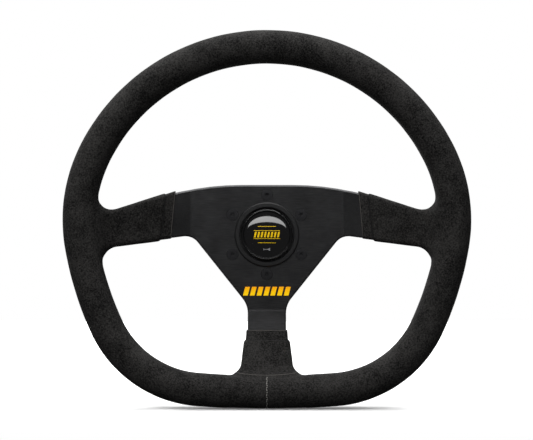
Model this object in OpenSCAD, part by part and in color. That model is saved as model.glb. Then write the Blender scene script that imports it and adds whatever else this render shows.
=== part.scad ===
// Quick release steering wheel: a flat-bottomed, suede-covered rim on a dished three-spoke
// plate, with a horn button in front and the wheel half of a ball-lock release hub behind.
// X is to the driver's right, Y points away from the driver, Z is up.
// The origin is on the steering axis, at the mouth of the release hub's bore.

/* [Rim] */
// Height of the rim's centreline at the top
rim_top = 161; // [155:0.5:166]
// Radius of the top arc of the rim
top_arc_r = 164.6; // [160:0.2:168]
// Radius of the shoulder arcs
shoulder_r = 127.4; // [123:0.2:131]
// Radius of the long, gently curved flanks
flank_r = 281.6; // [270:0.2:295]
// Radius of the two bottom corners
corner_r = 93.7; // [90:0.1:97]
// Half width of the grip across the face
grip_r = 14; // [13:0.1:15]
// How much deeper than wide the grip is, on each side
grip_flat = 2.5; // [1:0.1:4]
// Thickness of the suede cover
suede_t = 1.2; // [0.8:0.1:1.6]
// Outer radius of the metal tube in the rim
tube_r = 6; // [5:0.1:7]
// Wall of the metal tube
tube_wall = 1.5; // [1:0.1:2.5]

/* [Spoke plate] */
// Thickness of the aluminium plate
plate_t = 4; // [3:0.5:5]
// Distance from the plate's back face to the rim's centre plane
dish = 40; // [30:1:50]
// Distance of the spoke bends from the steering axis
bend_at = 67.5; // [64:0.5:70]
// Height of the plate's top edge
plate_top = 43.9; // [42:0.1:46]
// Half width of the bottom spoke
stem_half = 16.9; // [15:0.1:18]
// Radius of the hole for the horn button
horn_hole_r = 25; // [24:0.5:26]
// Diameter of the bolt circle
bolt_circle = 70; // [66:1:74]
// Number of hub screws
bolt_count = 6; // [6]

/* [Horn button] */
// Outer radius of the trim ring
trim_r = 28.5; // [27.5:0.1:30]
// Outer radius of the button
button_r = 22.3; // [21.5:0.1:22.5]
// How far the button travels
horn_travel = 2; // [1:0.1:2]

/* [Release hub] */
// Radius of the hub flange
flange_r = 42; // [41:0.5:44]
// Radius of the bore that takes the steering column's boss
bore_r = 16; // [15.8:0.1:16.2]
// Outer radius of the barrel that the collar slides on
barrel_r = 22; // [21.8:0.1:22.2]
// Outer radius of the collar
collar_r = 31; // [30:0.5:32]
// How far the collar is pulled towards the driver
collar_travel = 8; // [6:0.5:8]
// Radius of a locking ball
ball_r = 4; // [3.5:0.1:4]
// Number of locking balls
ball_count = 6; // [6]
// Number of teeth in the splined insert
spline_teeth = 24; // [16:1:32]

/* [Hidden] */
$fn = 32;
tube_fn = 16;
snug = 0.05;

// Rim path: arcs as [radius, angle turned], from the top down the right-hand side
rim_arcs = [[top_arc_r, 64.1], [shoulder_r, 35.6], [flank_r, 14.8], [corner_r, 60.9]];
arc_gap = 0.2;
band_w = 2;
band_lip = 0.05;
cover_lip = 0.1;
foam_r = grip_r - suede_t - 0.2;

// Spoke bends, so that each spoke's middle meets the rim tube
rim_side = 160.8;
rim_bottom = 135.1;
side_angle = atan((dish - plate_t / 2) / (rim_side - bend_at));
stem_angle = atan((dish - plate_t / 2) / (rim_bottom - bend_at));
bend_r = 6;
arm_reach = 110;

// Plate outline on the right-hand side: where its edges start and how they slope
top_corner = 63;
top_slope = 0.344;
low_corner = [66.1, -0.6];
low_slope = 0.131;
tip_x = 157;
stem_corner_z = -62.3;
stem_flare_z = -84;
stem_end = [21.5, -133];
hem_grow = 1.4;
wrap_grow = 1.9;
rim_gap = 0.2;

screw_r = 2.45;
screw_head_r = 5.2;
socket_r = 1.73;
head_depth = screw_head_r - screw_r;

// Places along the steering axis, counted from the back face of the spoke plate
trim_front = -plate_t - 2;
cap_front = -7;
cap_wall = 1.6;
stem_r = 4;
contact_face = 10.9;
stem_end_y = contact_face - horn_travel - 0.1;
cup_depth = 18;
hub_floor = 24;
barrel_start = 20;
barrel_end = 64;
mouth = barrel_end - 1;
flange_t = 8;
cup_r = 31;
ball_y = 45;
ball_rest = barrel_r - ball_r;
ball_lift = 2.1;
ramp = ball_lift / collar_travel;
collar_front = 30;
collar_back = 60;
collar_bore = barrel_r + snug;
ramp_start = ball_y - 0.7;
ramp_end = 57.5;
spring_seat = 36;
spline_end = 39;
pilot_end = 50.5;
insert_r = 18;

// ---- helpers ----

function unit(v) = v / norm(v);
function flat(lists) = [for (l = lists) for (p = l) p];

// Arc that rounds the corner at p, between its neighbours a and b
function corner(p, a, b, r, steps = 6) =
    r == 0 ? [p] :
    let (u = unit(a - p), v = unit(b - p), half = acos(u * v) / 2, c = p + unit(u + v) * r / sin(half))
    [for (i = [0 : steps])
        c + r * unit((p + u * r / tan(half) - c) * (steps - i) + (p + v * r / tan(half) - c) * i)];

// Outline through [x, z, corner radius] points
function rounded(pts) =
    let (n = len(pts), q = [for (p = pts) [p[0], p[1]]])
    flat([for (i = [0 : n - 1]) corner(q[i], q[(i + n - 1) % n], q[(i + 1) % n], pts[i][2])]);

// Outline whose right half is given, mirrored to the left
function both_sides(half) = concat(half, [for (i = [len(half) - 1 : -1 : 0]) [-half[i][0], half[i][1], half[i][2]]]);

// Solid of revolution round the steering axis, from [radius, y] points
module turned(profile) rotate([-90, 0, 0]) rotate_extrude() polygon(profile);

// Tube round the steering axis
module ring(r_out, r_in, y0, y1) turned([[r_in, y0], [r_out, y0], [r_out, y1], [r_in, y1]]);

// Every sub-part is drawn from the plate's back face, then moved so that the bore's mouth is the origin
module place() translate([0, -mouth, 0]) children();

module disc(r, y0, y1) translate([0, y0, 0]) rotate([-90, 0, 0]) cylinder(r = r, h = y1 - y0);

// Face shape in X and Z, carried through from y0 to y1
module facing(pts, y0, y1) translate([0, y1, 0]) rotate([90, 0, 0]) linear_extrude(y1 - y0) polygon(pts);

module on_bolt_circle() for (i = [0 : bolt_count - 1]) rotate([0, i * 360 / bolt_count, 0]) translate([0, 0, bolt_circle / 2]) children();

// Coil of round wire round the steering axis
module coil(r, wire_r, y0, y1, turns, sides = 8, steps = 14) {
    count = turns * steps;
    function ring_at(i) = let (a = 360 * i / steps, y = y0 + wire_r + (y1 - y0 - 2 * wire_r) * i / count)
        [for (k = [0 : sides - 1]) let (w = r + wire_r * cos(360 * k / sides))
            [w * cos(a), y + wire_r * sin(360 * k / sides), w * sin(a)]];
    skin = flat([for (i = [0 : count - 1]) for (k = [0 : sides - 1])
        let (a = i * sides + k, b = i * sides + (k + 1) % sides)
            [[a, a + sides, b], [b, a + sides, b + sides]]]);
    first = [for (k = [1 : sides - 2]) [0, k, k + 1]];
    last = [for (k = [1 : sides - 2]) [count * sides, count * sides + k + 1, count * sides + k]];
    polyhedron(points = flat([for (i = [0 : count]) ring_at(i)]), faces = concat(skin, first, last));
}

// ---- rim ----

function turn_at(i) = i == 0 ? 0 : turn_at(i - 1) + rim_arcs[i - 1][1];
function rim_x(i) = i == 0 ? 0 : rim_x(i - 1) + rim_arcs[i - 1][0] * (sin(turn_at(i)) - sin(turn_at(i - 1)));
function rim_z(i) = i == 0 ? rim_top : rim_z(i - 1) + rim_arcs[i - 1][0] * (cos(turn_at(i)) - cos(turn_at(i - 1)));
last_arc = len(rim_arcs);
bottom_r = rim_x(last_arc) / sin(turn_at(last_arc));

// One arc of the rim path, from a point and heading on it
module arc_sweep(r, x, z, heading, span) {
    trim = arc_gap / r * 180 / PI;
    translate([x - r * sin(heading), -dish, z - r * cos(heading)])
        rotate([90, 0, 0]) rotate([0, 0, 90 - heading - span + trim])
            rotate_extrude(angle = span - 2 * trim, $fn = max(96, r * 0.6)) translate([r, 0]) children();
}

module top_arc() arc_sweep(top_arc_r, -rim_x(1), rim_z(1), -turn_at(1), 2 * turn_at(1)) children();
module side_arc(i) arc_sweep(rim_arcs[i][0], rim_x(i), rim_z(i), turn_at(i), rim_arcs[i][1]) children();
module bottom_arc() arc_sweep(bottom_r, rim_x(last_arc), rim_z(last_arc), turn_at(last_arc), 2 * (180 - turn_at(last_arc))) children();

// Short band of a section across the rim, where arc i begins
module at_joint(i) translate([rim_x(i), -dish, rim_z(i)]) rotate([0, turn_at(i) + 90, 0])
    translate([0, 0, -band_w / 2]) linear_extrude(band_w) children();

// Whole rim: children(0) is the section, children(1) the section of the bands where arcs meet
module rim_sweep() {
    top_arc() children(0);
    bottom_arc() children(0);
    for (side = [0, 1]) mirror([side, 0, 0]) {
        for (i = [1 : last_arc - 1]) side_arc(i) children(0);
        for (i = [1 : last_arc]) at_joint(i) children(1);
    }
}

// Grip section: a circle stretched front to back
module grip_section(r) {
    square([2 * r, 2 * grip_flat], center = true);
    for (s = [-1, 1]) translate([0, s * grip_flat]) circle(r, $fn = tube_fn);
}

module rim_core() color("silver") place() rim_sweep() {
    difference() { circle(tube_r, $fn = tube_fn); circle(tube_r - tube_wall, $fn = tube_fn); }
    difference() { circle(tube_r + band_lip, $fn = tube_fn); circle(tube_r - tube_wall - band_lip, $fn = tube_fn); }
}

module rim_foam() color("dimgray") place() difference() {
    rim_sweep() {
        difference() { grip_section(foam_r); circle(tube_r + 0.1, $fn = tube_fn); }
        difference() { grip_section(foam_r + band_lip); circle(tube_r + 0.07, $fn = tube_fn); }
    }
    arms(0.1);
}

module rim_cover() color([0.09, 0.09, 0.09]) place() difference() {
    rim_sweep() {
        difference() { grip_section(grip_r); grip_section(grip_r - suede_t); }
        difference() { grip_section(grip_r + cover_lip); grip_section(grip_r - suede_t - cover_lip); }
    }
    arms(0.1);
}

// ---- spoke plate ----

// One arm as a bent slab, long in X, from z_low to z_high; grow adds to both faces
module arm_slab(angle, from, z_low, z_high, grow) {
    h = plate_t / 2 + grow;
    mid = -plate_t / 2;
    tip = [bend_at + arm_reach * cos(angle), mid - arm_reach * sin(angle)];
    side = h * [sin(angle), cos(angle)];
    step = h * tan(angle / 2);
    translate([0, 0, z_low]) linear_extrude(z_high - z_low) polygon(rounded([
        [from, mid - h, 0], [bend_at - step, mid - h, bend_r - grow],
        [tip.x - side.x, tip.y - side.y, 0], [tip.x + side.x, tip.y + side.y, 0],
        [bend_at + step, mid + h, bend_r + plate_t + grow], [from, mid + h, 0]
    ]));
}

module side_slab(grow) arm_slab(side_angle, 0, stem_corner_z - 4, 60, grow);
module stem_slab(grow) rotate([0, 90, 0]) arm_slab(stem_angle, 55, -50, 50, grow);

function top_edge(x) = plate_top - (x - top_corner) * top_slope;
function low_edge(x) = low_corner[1] - (x - low_corner[0]) * low_slope;

plate_half = [
    [top_corner, plate_top, 239], [tip_x, top_edge(tip_x), 0], [tip_x, low_edge(tip_x), 0],
    [low_corner[0], low_corner[1], 13.7], [stem_half, stem_corner_z, 21],
    [stem_half, stem_flare_z, 40], [stem_end[0], stem_end[1], 0]
];

// Outer ends of the three arms, a little larger, to cut their slots in the foam and cover
module arms(grow) for (side = [0, 1]) {
    mirror([side, 0, 0]) intersection() {
        side_slab(grow);
        facing([[120, top_edge(120) + grow], [tip_x + 1, top_edge(tip_x) + grow],
            [tip_x + 1, low_edge(tip_x) - grow], [120, low_edge(120) - grow]], -60, 0);
    }
    if (side == 0) intersection() {
        stem_slab(grow);
        facing(rounded(both_sides([[stem_end[0] + grow, -105, 0], [stem_end[0] + grow, stem_end[1] - 1, 0]])), -60, 0);
    }
}

module plate_blank() intersection() {
    facing(rounded(both_sides(plate_half)), -60, 5);
    union() {
        for (side = [0, 1]) mirror([side, 0, 0]) side_slab(0);
        stem_slab(0);
    }
}

module spoke_plate() color([0.15, 0.15, 0.16]) place() difference() {
    plate_blank();
    disc(horn_hole_r, -plate_t - 1, 1);
    on_bolt_circle() {
        disc(screw_r + 0.3, -plate_t - 1, 1);
        // the cone starts in front of the face, so that it leaves no skin there
        translate([0, -plate_t - 0.5, 0]) rotate([-90, 0, 0])
            cylinder(r1 = screw_head_r + 0.6, r2 = screw_r + 0.1, h = head_depth + 0.5);
    }
    for (side = [0, 1]) mirror([side, 0, 0]) {
        for (i = [1, 2]) side_arc(i) circle(tube_r + band_lip, $fn = tube_fn);
        at_joint(2) circle(tube_r + 2 * band_lip, $fn = tube_fn);
    }
    bottom_arc() circle(tube_r + band_lip, $fn = tube_fn);
}

// ---- suede sleeves on the spokes ----

// Sleeve on the right-hand spoke inside a face outline, hollow for the plate and clear of the rim
module side_sleeve(pts, grow) difference() {
    intersection() {
        side_slab(grow);
        facing(rounded(pts), -60, 0);
    }
    plate_blank();
    for (i = [1, 2]) side_arc(i) grip_section(grip_r + rim_gap);
    at_joint(2) grip_section(grip_r + rim_gap + band_lip);
}

module stem_sleeve(half, grow) difference() {
    intersection() {
        stem_slab(grow);
        facing(rounded(both_sides(half)), -60, 0);
    }
    plate_blank();
    bottom_arc() grip_section(grip_r + rim_gap);
}

// The seam between hem and sleeve slants: its x at the top and at the bottom of the spoke
seam_top = 88.4;
seam_low = 92.8;

module side_wrap() side_sleeve([
    [seam_top + 0.1, top_edge(seam_top) + wrap_grow, 0], [131, top_edge(131) + wrap_grow, 13],
    [150, 60, 0], [160, 60, 0], [160, -45, 0], [150, -45, 0],
    [132, low_edge(132) - wrap_grow, 17], [seam_low + 0.1, low_edge(seam_low) - wrap_grow, 0]
], wrap_grow);

module side_hem() side_sleeve([
    [80.4, top_edge(80.4) + hem_grow, 0], [seam_top, top_edge(seam_top) + hem_grow, 0],
    [seam_low, low_edge(seam_low) - hem_grow, 0], [83.6, low_edge(83.6) - hem_grow, 0]
], hem_grow);

module spoke_wrap_right() color([0.06, 0.06, 0.06]) place() side_wrap();
module spoke_wrap_left() color([0.06, 0.06, 0.06]) place() mirror([1, 0, 0]) side_wrap();
module spoke_wrap_bottom() color([0.06, 0.06, 0.06]) place()
    stem_sleeve([[20.2, -92.4, 0], [23, -113.5, 11], [45, -126, 0], [45, -140, 0]], wrap_grow);

module spoke_hem_right() color([0.1, 0.1, 0.1]) place() side_hem();
module spoke_hem_left() color([0.1, 0.1, 0.1]) place() mirror([1, 0, 0]) side_hem();
module spoke_hem_bottom() color([0.1, 0.1, 0.1]) place() stem_sleeve([[18.4, -83.6, 0], [19.6, -92.3, 0]], hem_grow);

// Row of slanted bars printed on the plate above the bottom spoke
module plate_emblem() color("gold") place() for (i = [-3 : 3])
    facing([[i * 6 - 3, -53.8], [i * 6 + 1, -53.8], [i * 6 + 3, -46.2], [i * 6 - 1, -46.2]],
        -plate_t - 0.3, -plate_t);

module hub_screws() color([0.1, 0.1, 0.1]) place() on_bolt_circle() difference() {
    turned([[0, -plate_t], [screw_head_r, -plate_t], [screw_r, -plate_t + head_depth],
        [screw_r, flange_t - 0.5], [0, flange_t - 0.5]]);
    translate([0, -plate_t - 1, 0]) rotate([-90, 0, 0]) cylinder(r = socket_r, h = 3, $fn = 6);
}

// ---- horn button ----

// Ring that clips the horn button into the plate, with a recessed lip that holds the cap in
module horn_trim_ring() color([0.08, 0.08, 0.08]) place() turned([
    [24, trim_front], [trim_r - 0.6, trim_front], [trim_r, trim_front + 0.6], [trim_r, -plate_t],
    [horn_hole_r - 0.1, -plate_t], [horn_hole_r - 0.1, 3], [23.6, 3], [23.6, -1],
    [22.8, -1], [22.8, -2.5], [24, -2.5]
]);

module horn_housing() color([0.12, 0.12, 0.12]) place() difference() {
    union() {
        ring(horn_hole_r - 0.1, 23.4, 3, 13);
        disc(23.4, 11.5, 13);
    }
    for (x = [-10, 10]) translate([x, 0, 0]) disc(1.6, 10, 14);
}

module horn_fixed_contact() color("goldenrod") place() difference() {
    disc(9, contact_face, 11.5);
    disc(2, 10, 12);
}

// Two rivets through the housing floor with blade terminals behind
module horn_terminals() color("goldenrod") place() for (x = [-10, 10]) translate([x, 0, 0]) {
    disc(1.6, 11.5, 13);
    translate([-2.4, 13, -3]) cube([4.8, 0.8, 6]);
    translate([-2.4, 13.8, -3]) cube([4.8, 3, 0.8]);
}

module horn_spring() color("silver") place() coil(13, 0.6, cap_front + cap_wall + 0.1, 11.4, 5);

module horn_cap() color([0.05, 0.05, 0.05]) place() turned([
    [0, cap_front], [button_r, cap_front], [button_r, -0.9], [23.3, -0.9], [23.3, 1],
    [button_r - cap_wall, 1], [button_r - cap_wall, cap_front + cap_wall],
    [stem_r, cap_front + cap_wall], [stem_r, stem_end_y], [0, stem_end_y]
]);

module horn_bezel() color([0.05, 0.05, 0.05]) place() turned([
    [20.6, cap_front], [20.6, cap_front - 1.2], [20.9, cap_front - 1.5], [21.9, cap_front - 1.5],
    [button_r, cap_front - 1.1], [button_r, cap_front]
]);

module horn_badge() color([0.04, 0.04, 0.04]) place() disc(20.5, cap_front - 0.3, cap_front);

// Clear dome: the cap of a large sphere over the printed badge
dome_base = cap_front - 0.3;
dome_h = 3;
dome_r = 20.5;
dome_sphere_r = (dome_r * dome_r + dome_h * dome_h) / (2 * dome_h);
module horn_dome() color([0.2, 0.2, 0.2]) place() intersection() {
    translate([0, dome_base - dome_h + dome_sphere_r, 0]) sphere(dome_sphere_r, $fn = 300);
    disc(dome_r, dome_base - dome_h - 1, dome_base);
}

module horn_moving_contact() color("goldenrod") place() ring(8, stem_r, stem_end_y - 1.2, stem_end_y);

// ---- quick release hub ----

module release_hub() color([0.2, 0.2, 0.21]) place() difference() {
    turned([
        [cup_r - 5, 0], [flange_r, 0], [flange_r, flange_t - 1], [flange_r - 1, flange_t], [cup_r, flange_t],
        [cup_r, barrel_start - 1], [cup_r - 1, barrel_start], [barrel_r, barrel_start],
        [barrel_r, collar_back + 0.1], [barrel_r - 1, collar_back + 0.1],
        [barrel_r - 1, collar_back + 1.6], [barrel_r, collar_back + 1.6],
        [barrel_r, barrel_end - 1], [barrel_r - 1, barrel_end], [bore_r + 1, barrel_end],
        [bore_r, mouth], [bore_r, pilot_end], [bore_r + 0.5, pilot_end], [bore_r + 0.5, spline_end],
        [insert_r, spline_end], [insert_r, hub_floor],
        [4, hub_floor], [4, cup_depth], [cup_r - 5, cup_depth]
    ]);
    on_bolt_circle() disc(screw_r + snug, -1, flange_t + 1);
    for (i = [0 : bolt_count - 1]) rotate([0, (i + 0.5) * 360 / bolt_count, 0])
        translate([0, 0, flange_r + 5]) disc(11, -1, flange_t + 1);
    for (i = [0 : ball_count - 1]) rotate([0, -(i + 0.5) * 360 / ball_count, 0])
        translate([bore_r - 2, ball_y, 0]) rotate([0, 90, 0]) cylinder(r = ball_r + snug, h = 10);
}

// Steel insert with straight-sided teeth for the boss
module spline_insert() color([0.5, 0.5, 0.5]) place() {
    pitch = 360 / spline_teeth;
    teeth = flat([for (i = [0 : spline_teeth - 1]) [for (c = [[-0.5, 16], [-0.2, 16], [-0.12, 14.5], [0.12, 14.5], [0.2, 16]])
        c[1] * [cos((i + c[0]) * pitch), sin((i + c[0]) * pitch)]]]);
    translate([0, spline_end, 0]) rotate([90, 0, 0]) linear_extrude(spline_end - hub_floor) difference() {
        circle(insert_r);
        polygon(teeth);
    }
}

module collar_spring() color("silver") place() coil(24.6, 1, barrel_start + 0.1, spring_seat - 0.1, 3);

module collar_snap_ring() color([0.4, 0.4, 0.4]) place() difference() {
    ring(barrel_r + 3, barrel_r - 1, collar_back + 0.1, collar_back + 1.6);
    translate([-3, collar_back - 1, -barrel_r - 5]) cube([6, 4, 10]);
}

// Collar with a pull lip in front, a spring seat, and the ramp that lets the balls out
module release_collar() color([0.62, 0.62, 0.64]) place() turned([
    [27, collar_front], [36, collar_front], [37, collar_front + 1], [37, collar_front + 4],
    [36, collar_front + 5], [collar_r, collar_front + 5], [collar_r, 41], [collar_r - 1, 41],
    [collar_r - 1, 55], [collar_r, 55], [collar_r, collar_back - 1], [collar_r - 1, collar_back],
    [collar_bore, collar_back], [collar_bore, ramp_end], [collar_bore + ramp * (ramp_end - ramp_start), ramp_end],
    [collar_bore, ramp_start], [collar_bore, spring_seat], [27, spring_seat]
]);

// Three rubber bands in the collar's groove, for grip
module collar_grip() color([0.05, 0.05, 0.05]) place() for (i = [0 : 2])
    ring(collar_r + 0.4, collar_r - 1, 41.5 + i * 4.5, 45.5 + i * 4.5);

module ball(i) color([0.75, 0.75, 0.75]) place() rotate([0, -(i - 0.5) * 360 / ball_count, 0])
    translate([ball_rest, ball_y, 0]) sphere(ball_r);
module ball_1() ball(1);
module ball_2() ball(2);
module ball_3() ball(3);
module ball_4() ball(4);
module ball_5() ball(5);
module ball_6() ball(6);

rim_core();
rim_foam();
rim_cover();
spoke_plate();
spoke_wrap_left();
spoke_wrap_right();
spoke_wrap_bottom();
spoke_hem_left();
spoke_hem_right();
spoke_hem_bottom();
plate_emblem();
hub_screws();
horn_trim_ring();
horn_housing();
horn_fixed_contact();
horn_terminals();
horn_spring();
horn_cap();
horn_bezel();
horn_badge();
horn_dome();
horn_moving_contact();
release_hub();
spline_insert();
collar_spring();
collar_snap_ring();
release_collar();
collar_grip();
ball_1();
ball_2();
ball_3();
ball_4();
ball_5();
ball_6();
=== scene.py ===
"""Looks of a flat-bottomed, suede-covered steering wheel with a quick release hub."""

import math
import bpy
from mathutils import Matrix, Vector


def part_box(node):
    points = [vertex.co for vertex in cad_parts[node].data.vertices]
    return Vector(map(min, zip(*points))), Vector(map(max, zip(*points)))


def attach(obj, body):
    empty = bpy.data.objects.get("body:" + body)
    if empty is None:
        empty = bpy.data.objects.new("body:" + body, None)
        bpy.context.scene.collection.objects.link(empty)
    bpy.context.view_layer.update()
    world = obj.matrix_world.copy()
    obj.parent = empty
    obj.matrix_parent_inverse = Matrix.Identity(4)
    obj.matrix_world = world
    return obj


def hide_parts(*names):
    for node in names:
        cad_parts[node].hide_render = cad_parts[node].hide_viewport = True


bl_info = {
    "name": "Quick Release Steering Wheel",
    "version": (1, 0, 0),
    "blender": (4, 5, 0),
    "location": "3D View > Sidebar > Wheel",
    "description": "Builds the visible pieces of a suede steering wheel around its packed CAD frame",
    "category": "Add Mesh",
}

import bmesh
import bpy
import numpy as np
from mathutils import Vector

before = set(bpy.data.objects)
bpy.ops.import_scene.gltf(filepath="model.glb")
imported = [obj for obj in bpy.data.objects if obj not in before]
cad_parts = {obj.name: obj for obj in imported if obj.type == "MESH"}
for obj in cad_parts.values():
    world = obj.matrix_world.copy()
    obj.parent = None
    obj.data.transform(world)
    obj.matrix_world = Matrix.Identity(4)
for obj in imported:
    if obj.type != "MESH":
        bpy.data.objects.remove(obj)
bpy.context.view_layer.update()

MM = 0.001
# corners nearer than this, in metres, are one corner
SAME_SPOT = 1e-6
LATHE_SIDES = 160

# The steering axis is Y. Places along it are counted in mm from the spoke plate's back face.
PLATE_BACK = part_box("spoke_plate")[1].y
PLATE_T = 4.0
DISH = 40.0

# Rim path on the right-hand side, as (radius in mm, degrees turned), from the top centre down
RIM_TOP = 161.0
RIM_ARCS = ((164.6, 64.1), (127.4, 35.6), (281.6, 14.8), (93.7, 60.9))
RIM_SIDE = 160.8
RIM_BOTTOM = 135.1
GRIP_R = 14.0
GRIP_FLAT = 2.5

# The spokes bend forward towards the rim at this distance from the axis
BEND_AT = 67.5
SIDE_ANGLE = math.atan2(DISH - PLATE_T / 2, RIM_SIDE - BEND_AT)
STEM_ANGLE = math.atan2(DISH - PLATE_T / 2, RIM_BOTTOM - BEND_AT)

# Edges of the side spokes, as (x, z, rise of z for each mm of x)
SPOKE_TOP = (63.0, 43.9, -0.344)
SPOKE_LOW = (66.1, -0.6, -0.131)
# The seams of the side sleeves slant outwards below this height, where their x is given
SEAM_TOP = 38.0
SEAM_X, SEAM_SLANT = 88.4, 0.11
HEM_X, HEM_SLANT = 80.4, 0.09
# The seam and the hem of the bottom sleeve, below the axis
STEM_SEAM, STEM_HEM = 91.4, 83.6
# Half the thickness of a spoke with its sleeve, and with the hem alone
SLEEVE_HALF_T, HEM_HALF_T = 4.4, 3.2
# Fillets between the rim and the sleeves
SIDE_FILLET_LOW, SIDE_FILLET_TOP, STEM_FILLET = 16.0, 19.0, 11.0

# Dome over the printed label, as a cap of a sphere
DOME_R, DOME_BASE, DOME_HEIGHT = 20.5, -7.0, 3.3
DOME_SPHERE_R = (DOME_R**2 + DOME_HEIGHT**2) / (2 * DOME_HEIGHT)

# Slanted bars on the plate: their lower and upper edges
BARS_LOW, BARS_TOP = -53.9, -46.1

SCREW_CIRCLE_R, SCREW_COUNT = 35.0, 6


# ---------------------------------------------------------------- colour and material helpers


def linear(hex_colour):
    """An sRGB hex colour as linear RGBA."""
    value = [int(hex_colour[i : i + 2], 16) / 255 for i in (1, 3, 5)]
    return tuple(v / 12.92 if v <= 0.04045 else ((v + 0.055) / 1.055) ** 2.4 for v in value) + (1.0,)


def shaded(colour, times):
    """The same colour, darker or lighter."""
    return tuple(c * times for c in colour[:3]) + (1.0,)


def add_node(tree, kind, inputs=(), stops=(), **settings):
    """A node of that kind, with its settings, a ramp's two stops, and its inputs set or linked."""
    node = tree.nodes.new(kind)
    for name, value in settings.items():
        setattr(node, name, value)
    for element, (position, colour) in zip(node.color_ramp.elements if stops else (), stops):
        element.position = position
        element.color = colour
    for name, value in dict(inputs).items():
        if isinstance(value, bpy.types.NodeSocket):
            tree.links.new(value, node.inputs[name])
        else:
            node.inputs[name].default_value = value
    return node


def new_material(name):
    """A material with an empty node tree."""
    material = bpy.data.materials.new(name)
    material.use_nodes = True
    material.node_tree.nodes.clear()
    return material, material.node_tree


def surface(tree, inputs):
    """Principled shader with these values and sockets, as the material's surface."""
    shader = add_node(tree, "ShaderNodeBsdfPrincipled", inputs)
    add_node(tree, "ShaderNodeOutputMaterial", {"Surface": shader.outputs["BSDF"]})


def grain(tree, size_mm, stretch=(1, 1, 1), detail=3.0, roughness=0.5):
    """Noise whose blotches are size_mm across, drawn out along the axes in stretch."""
    place = add_node(tree, "ShaderNodeTexCoord")
    scale = [1 / (size_mm * MM * s) for s in stretch]
    spread = add_node(tree, "ShaderNodeMapping", {"Vector": place.outputs["Object"], "Scale": scale})
    noise = add_node(
        tree,
        "ShaderNodeTexNoise",
        {"Vector": spread.outputs["Vector"], "Scale": 1.0, "Detail": detail, "Roughness": roughness},
    )
    return noise.outputs["Fac"]


def rings(tree, pitch_mm):
    """Fine lathe grooves round the steering axis, pitch_mm apart in radius and length."""
    place = add_node(tree, "ShaderNodeTexCoord")
    parts = add_node(tree, "ShaderNodeSeparateXYZ", {"Vector": place.outputs["Object"]})
    flat = add_node(tree, "ShaderNodeCombineXYZ", {"X": parts.outputs["X"], "Z": parts.outputs["Z"]})
    radius = add_node(
        tree, "ShaderNodeVectorMath", {"Vector": flat.outputs["Vector"]}, operation="LENGTH"
    )
    along = add_node(
        tree, "ShaderNodeMath", {0: radius.outputs["Value"], 1: parts.outputs["Y"]}, operation="ADD"
    )
    line = add_node(tree, "ShaderNodeCombineXYZ", {"X": along.outputs["Value"]})
    scale = 1 / (pitch_mm * MM)
    noise = add_node(
        tree,
        "ShaderNodeTexNoise",
        {"Vector": line.outputs["Vector"], "Scale": scale, "Detail": 2.0, "Roughness": 0.6},
    )
    return noise.outputs["Fac"]


# ---------------------------------------------------------------- materials


def napped_suede(name, base, light):
    """Split leather buffed to a short nap: matt, mottled by how the nap lies, with a soft sheen."""
    material, tree = new_material(name)
    patches = grain(tree, 18, detail=5.0, roughness=0.65)
    # the nap is under 0.2 mm long and is drawn as clumps of 1.3 mm, so that it shows
    nap = grain(tree, 1.3, detail=3.0, roughness=0.8)
    mixed = add_node(tree, "ShaderNodeMix", {"Factor": 0.72, "A": patches, "B": nap}, data_type="FLOAT")
    colour = add_node(
        tree, "ShaderNodeValToRGB", {"Fac": mixed.outputs["Result"]}, ((0.41, base), (0.59, light))
    )
    bump = add_node(tree, "ShaderNodeBump", {"Height": nap, "Strength": 0.8, "Distance": 0.6 * MM})
    surface(tree, {
        "Base Color": colour.outputs["Color"],
        "Roughness": 0.95,
        "IOR": 1.45,
        "Specular IOR Level": 0.2,
        "Sheen Weight": 0.06,
        "Sheen Roughness": 0.5,
        "Sheen Tint": light,
        "Normal": bump.outputs["Normal"],
    })
    return material


def brushed_black_anodised(name, base):
    """Aluminium brushed along X, then anodised black: fine level grain and a soft, stretched gloss."""
    material, tree = new_material(name)
    # the scratches are 0.05 mm wide and are drawn at 0.45 mm, so that they show
    scratches = grain(tree, 0.45, stretch=(24, 1, 1), detail=3.0, roughness=0.7)
    cloud = grain(tree, 22, detail=3.0)
    mixed = add_node(
        tree, "ShaderNodeMix", {"Factor": 0.4, "A": scratches, "B": cloud}, data_type="FLOAT"
    )
    stops = ((0.34, shaded(base, 0.62)), (0.68, shaded(base, 1.45)))
    colour = add_node(tree, "ShaderNodeValToRGB", {"Fac": mixed.outputs["Result"]}, stops)
    gloss = add_node(tree, "ShaderNodeMapRange", {"Value": scratches, "To Min": 0.36, "To Max": 0.56})
    bump = add_node(
        tree, "ShaderNodeBump", {"Height": scratches, "Strength": 0.5, "Distance": 0.04 * MM}
    )
    surface(tree, {
        "Base Color": colour.outputs["Color"],
        "Metallic": 0.8,
        "Roughness": gloss.outputs["Result"],
        "Normal": bump.outputs["Normal"],
    })
    return material


def turned_metal(name, base, rough, pitch_mm=0.4):
    """Metal finished on a lathe: fine rings that draw the gloss out round the axis."""
    material, tree = new_material(name)
    # a finishing cut leaves grooves 0.1 mm apart; they are drawn coarser, so that they show
    grooves = rings(tree, pitch_mm)
    gloss = add_node(
        tree, "ShaderNodeMapRange", {"Value": grooves, "To Min": rough - 0.07, "To Max": rough + 0.08}
    )
    bump = add_node(
        tree, "ShaderNodeBump", {"Height": grooves, "Strength": 0.6, "Distance": 0.03 * MM}
    )
    surface(tree, {
        "Base Color": base,
        "Metallic": 1.0,
        "Roughness": gloss.outputs["Result"],
        "Normal": bump.outputs["Normal"],
    })
    return material


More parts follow.
